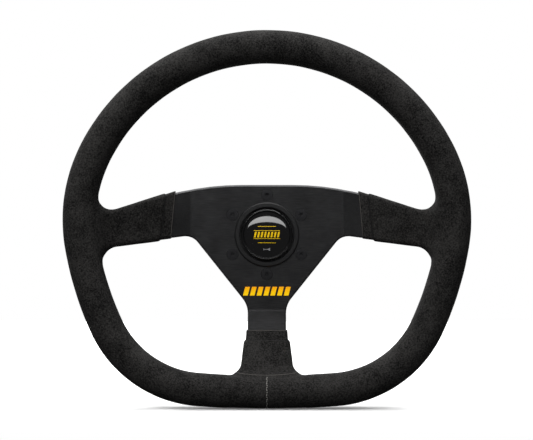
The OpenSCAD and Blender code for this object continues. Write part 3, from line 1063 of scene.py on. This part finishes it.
class WHEEL_OT_plate(bpy.types.Operator):
    """Spoke plate with its edge chamfered, brushed and anodised"""

    bl_idname = "wheel.plate"
    bl_label = "Spoke plate"

    def execute(self, context):
        bm = node_copy("spoke_plate", 0.6)
        # the screw holes and the horn's opening, nearer the axis than this, keep their edges
        keep_out = 41.2 * MM
        outer = [
            edge
            for edge in corner_edges(bm)
            if all(math.hypot(v.co.x, v.co.z) > keep_out for v in edge.verts)
        ]
        width = context.scene.wheel_sizes.plate_edge
        bmesh.ops.bevel(bm, geom=outer, offset=width, segments=1, affect="EDGES")
        plate = built("spoke_plate_finished", bm)
        finish = "aluminium_brushed_black_anodised"
        finish_piece(plate, finish, replaces=("spoke_plate",), sharp=20)
        return {"FINISHED"}


def slanted_bar(x, half_width, lean, low, top):
    """Corners (x, z) of a bar round x that leans over to the right."""
    return [
        (x - half_width - lean, low),
        (x + half_width - lean, low),
        (x + half_width + lean, top),
        (x - half_width + lean, top),
    ]


class WHEEL_OT_marks(bpy.types.Operator):
    """Plain slanted bars on the plate"""

    bl_idname = "wheel.marks"
    bl_label = "Marks"

    def execute(self, context):
        pitch, half_width, lean, thick, round_mm = 6.0, 2.1, 1.0, 0.45, 0.35
        bars = []
        for x in (i * pitch for i in range(-3, 4)):
            outline = slanted_bar(x, half_width, lean, BARS_LOW, BARS_TOP)
            bars.append(bevel(prism("bar", outline, -PLATE_T - thick, -PLATE_T), round_mm, 3))
        marks = join("plate_bars", bars)
        finish_piece(marks, "enamel_yellow", replaces=("plate_emblem",), sharp=50)
        return {"FINISHED"}


# ---------------------------------------------------------------- horn button

# Closed profiles as (radius, y) in mm
TRIM_RING = (
    # rounded flange on the plate
    (24.0, -5.6), (24.5, -6.0), (27.2, -6.0), (27.6, -5.9), (28.3, -5.2), (28.5, -4.9), (28.5, -4.0),
    # wall through the plate
    (24.9, -4.0), (24.9, 3.0), (23.6, 3.0),
    # lip that stops the cap
    (23.6, -1.0), (22.8, -1.0), (22.8, -2.5), (24.0, -2.5),
)
CAP = (
    # face and skirt, with a flange at its end
    (0, -7.0), (21.9, -7.0), (22.3, -6.6), (22.3, -0.9), (23.3, -0.9), (23.3, 1.0), (20.7, 1.0),
    # inside, with the post that carries the contact
    (20.7, -5.4), (4.0, -5.4), (4.0, 8.8), (0, 8.8),
)
BEZEL = (
    (20.6, -7.0), (20.6, -8.0), (20.9, -8.4), (21.4, -8.5), (21.9, -8.35), (22.3, -7.8), (22.3, -7.0),
)


def dome_y(r):
    """Where the dome's surface is along Y at a radius, in mm."""
    return DOME_BASE - DOME_HEIGHT + DOME_SPHERE_R - math.sqrt(DOME_SPHERE_R**2 - r * r)


def dome_profile(steps=24):
    """Closed profile of the dome."""
    radii = [DOME_R * k / steps for k in range(steps, -1, -1)]
    return [(0, DOME_BASE), (DOME_R, DOME_BASE)] + [(r, dome_y(r)) for r in radii]


def dome_grid(bm, corners, lift, parts):
    """Rows of corners of a bmesh over a four-cornered shape (x, z), lifted along Y off the dome."""
    a, b, c, d = (Vector(corner) for corner in corners)
    grid = []
    for i in range(parts + 1):
        left, right = a.lerp(d, i / parts), b.lerp(c, i / parts)
        row = []
        for k in range(parts + 1):
            spot = left.lerp(right, k / parts)
            row.append(bm.verts.new(at(spot.x, dome_y(spot.length) + lift, spot.y)))
        grid.append(row)
    for here, there in zip(grid, grid[1:]):
        for k in range(parts):
            bm.faces.new((here[k], here[k + 1], there[k + 1], there[k]))
    return grid


def printed(name, quads, material):
    """Print on the dome: four-cornered shapes, each given by its corners in X and Z (mm)."""
    proud, sunk, n = 0.06, 0.2, 8
    bm = bmesh.new()
    border = [(0, k) for k in range(n)] + [(i, n) for i in range(n)]
    border += [(n, n - k) for k in range(n)] + [(n - i, 0) for i in range(n)]
    for corners in quads:
        top, low = dome_grid(bm, corners, -proud, n), dome_grid(bm, corners, sunk, n)
        for (i, k), (i2, k2) in zip(border, border[1:] + border[:1]):
            bm.faces.new((top[i][k], top[i2][k2], low[i2][k2], low[i][k]))
    bmesh.ops.recalc_face_normals(bm, faces=bm.faces)
    return finish_piece(built(name, bm), material, "horn_button", (), 40)


def oblong(low_x, high_x, low_z, high_z):
    """Corners of an upright oblong."""
    return [(low_x, low_z), (high_x, low_z), (high_x, high_z), (low_x, high_z)]


def label_bars():
    """A row of slanted bars between two pairs of thin lines."""
    half_height, half_width, lean = 2.4, 0.8, 0.5
    bars = [
        slanted_bar(x, half_width, lean, -half_height, half_height)
        for x in np.linspace(-10.2, 10.2, 8)
    ]
    lines = ((11.6, -3.5), (11.6, 3.5), (8.0, -7.2), (8.0, 7.2))
    return bars + [oblong(-half, half, z - 0.2, z + 0.2) for half, z in lines]


def horn_sign():
    """A plain horn lying on its side: mouthpiece, tube and bell."""
    bell = [(0.6, -13.25), (2.8, -14.3), (2.8, -11.7), (0.6, -12.75)]
    return [oblong(-3.0, -2.5, -13.7, -12.3), oblong(-2.5, 0.6, -13.25, -12.75), bell]


class WHEEL_OT_horn(bpy.types.Operator):
    """Horn button, its trim ring and the printed label under a resin dome"""

    bl_idname = "wheel.horn"
    bl_label = "Horn button"

    def execute(self, context):
        # piece, profile, finish, body, CAD nodes, slot, crease angle
        turned = (
            ("horn_trim_ring_finished", TRIM_RING, "abs_moulded_satin", "wheel",
             ("horn_trim_ring",), "satin_plastic", 28),
            ("horn_cap_finished", CAP, "abs_moulded_satin", "horn_button",
             ("horn_cap",), "satin_plastic", 28),
            ("horn_bezel_finished", BEZEL, "abs_polished_lacquered", "horn_button",
             ("horn_bezel",), "gloss_plastic", 60),
            ("horn_label_dome", dome_profile(), "resin_domed_label", "horn_button",
             ("horn_badge", "horn_dome"), "gloss_plastic", 40),
        )
        for name, profile, finish, body, nodes, slot, sharp in turned:
            finish_piece(lathe(name, profile), finish, body, nodes, sharp)
        printed("label_bars", label_bars(), "print_yellow")
        printed("label_horn_sign", horn_sign(), "print_grey")
        return {"FINISHED"}


# ---------------------------------------------------------------- release, screws and inner parts

# piece, CAD node, finish, body, slot, eased edge in mm
RELEASE_PIECES = (
    ("release_hub_turned", "release_hub", "aluminium_turned_black_anodised", "wheel", "hub_alloy", 0.3),
    ("release_collar_turned", "release_collar", "aluminium_turned_clear_anodised",
     "collar", "collar_alloy", 0.3),
    ("collar_grip_bands", "collar_grip", "rubber_moulded", "collar", "rubber", 0.15),
    ("collar_ring_snapped_in", "collar_snap_ring", "steel_black_oxide", "wheel", "spring_steel", 0.1),
    ("spline_insert_broached", "spline_insert", "steel_drawn_wire", "wheel", "black_steel", 0.1),
)


class WHEEL_OT_release(bpy.types.Operator):
    """Release hub, its collar with grip bands, the splined insert and the locking balls"""

    bl_idname = "wheel.release"
    bl_label = "Quick release"

    def execute(self, context):
        for piece in RELEASE_PIECES:
            refined(*piece)
        for i in range(1, 7):
            name, body = f"lock_ball_{i}_polished", f"lock_ball_{i}"
            refined(name, f"ball_{i}", "steel_polished", body, "bearing_steel", sharp=60)
        return {"FINISHED"}


def screw_sections():
    """Sections of a countersunk screw, from tip to socket floor: (radius, y, whether a hexagon)."""
    head_r, shank_r, front, tip = 5.15, 2.45, -PLATE_T, 7.5
    hex_r, hex_depth = 1.73, 2.0
    return (
        (shank_r, tip, False),
        (shank_r, front + head_r - shank_r, False),
        (head_r, front + 0.35, False),
        (head_r - 0.15, front + 0.1, False),
        (head_r - 0.6, front + 0.02, False),
        (hex_r + 0.4, front + 0.02, False),
        (hex_r + 0.1, front + 0.05, True),
        (hex_r, front + 0.2, True),
        (hex_r, front + hex_depth, True),
    )


def hexagon(a):
    """Distance to a hexagon's side at an angle, for corners at a distance of 1."""
    sixth = math.pi / 3
    return math.cos(sixth / 2) / math.cos(a % sixth - sixth / 2)


class WHEEL_OT_screws(bpy.types.Operator):
    """Countersunk socket screws that hold the plate to the hub"""

    bl_idname = "wheel.screws"
    bl_label = "Hub screws"

    def execute(self, context):
        sides = 48
        bm = bmesh.new()
        for turn in range(SCREW_COUNT):
            angle = math.radians(90 + 360 / SCREW_COUNT * turn)
            cx, cz = SCREW_CIRCLE_R * math.cos(angle), SCREW_CIRCLE_R * math.sin(angle)
            loops = []
            for radius, y, hexed in screw_sections():
                loop = []
                for k in range(sides):
                    a = 2 * math.pi * k / sides
                    r = radius * (hexagon(a) if hexed else 1.0)
                    loop.append(bm.verts.new(at(cx + r * math.cos(a), y, cz + r * math.sin(a))))
                loops.append(loop)
            for here, there in zip(loops, loops[1:]):
                for k in range(sides):
                    after = (k + 1) % sides
                    bm.faces.new((here[k], here[after], there[after], there[k]))
            bm.faces.new(loops[0])
            bm.faces.new(list(reversed(loops[-1])))
        bmesh.ops.recalc_face_normals(bm, faces=bm.faces)
        screws = built("hub_screws_finished", bm)
        finish_piece(screws, "steel_black_oxide", replaces=("hub_screws",), sharp=30)
        return {"FINISHED"}


class WHEEL_OT_inner_parts(bpy.types.Operator):
    """Finishes of the springs, contacts and core, which keep their CAD shapes"""

    bl_idname = "wheel.inner_parts"
    bl_label = "Inner parts"

    def execute(self, context):
        finishes = {
            "horn_spring": "steel_drawn_wire",
            "collar_spring": "steel_drawn_wire",
            "horn_fixed_contact": "brass_stamped",
            "horn_terminals": "brass_stamped",
            "horn_moving_contact": "brass_stamped",
            "horn_housing": "abs_moulded_satin",
            "rim_core": "aluminium_turned_clear_anodised",
            "rim_foam": "foam_moulded",
        }
        for name, finish in finishes.items():
            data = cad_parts[name].data
            data.materials.clear()
            data.materials.append(MATERIALS[finish])
        return {"FINISHED"}


class WHEEL_PT_panel(bpy.types.Panel):
    """Lists the wheel's pieces and settings"""

    bl_idname = "WHEEL_PT_panel"
    bl_label = "Steering Wheel"
    bl_space_type = "VIEW_3D"
    bl_region_type = "UI"
    bl_category = "Wheel"

    def draw(self, context):
        layout = self.layout
        for group in (context.scene.wheel_colours, context.scene.wheel_sizes):
            for name in group.__annotations__:
                layout.prop(group, name)
        for operator in OPERATORS:
            layout.operator(operator.bl_idname)


OPERATORS = (
    WHEEL_OT_stage,
    WHEEL_OT_suede,
    WHEEL_OT_hems,
    WHEEL_OT_stitching,
    WHEEL_OT_plate,
    WHEEL_OT_marks,
    WHEEL_OT_horn,
    WHEEL_OT_release,
    WHEEL_OT_screws,
    WHEEL_OT_inner_parts,
)
CLASSES = (WheelColours, WheelSizes) + OPERATORS + (WHEEL_PT_panel,)


def register():
    for item in CLASSES:
        bpy.utils.register_class(item)
    bpy.types.Scene.wheel_colours = bpy.props.PointerProperty(type=WheelColours)
    bpy.types.Scene.wheel_sizes = bpy.props.PointerProperty(type=WheelSizes)


def unregister():
    del bpy.types.Scene.wheel_sizes
    del bpy.types.Scene.wheel_colours
    for item in reversed(CLASSES):
        bpy.utils.unregister_class(item)


def main():
    register()
    make_materials(bpy.context.scene.wheel_colours)
    for operator in OPERATORS:
        group, action = operator.bl_idname.split(".")
        if getattr(getattr(bpy.ops, group), action)() != {"FINISHED"}:
            raise RuntimeError(f"{operator.bl_label} didn't finish")


if __name__ == "__main__":
    main()
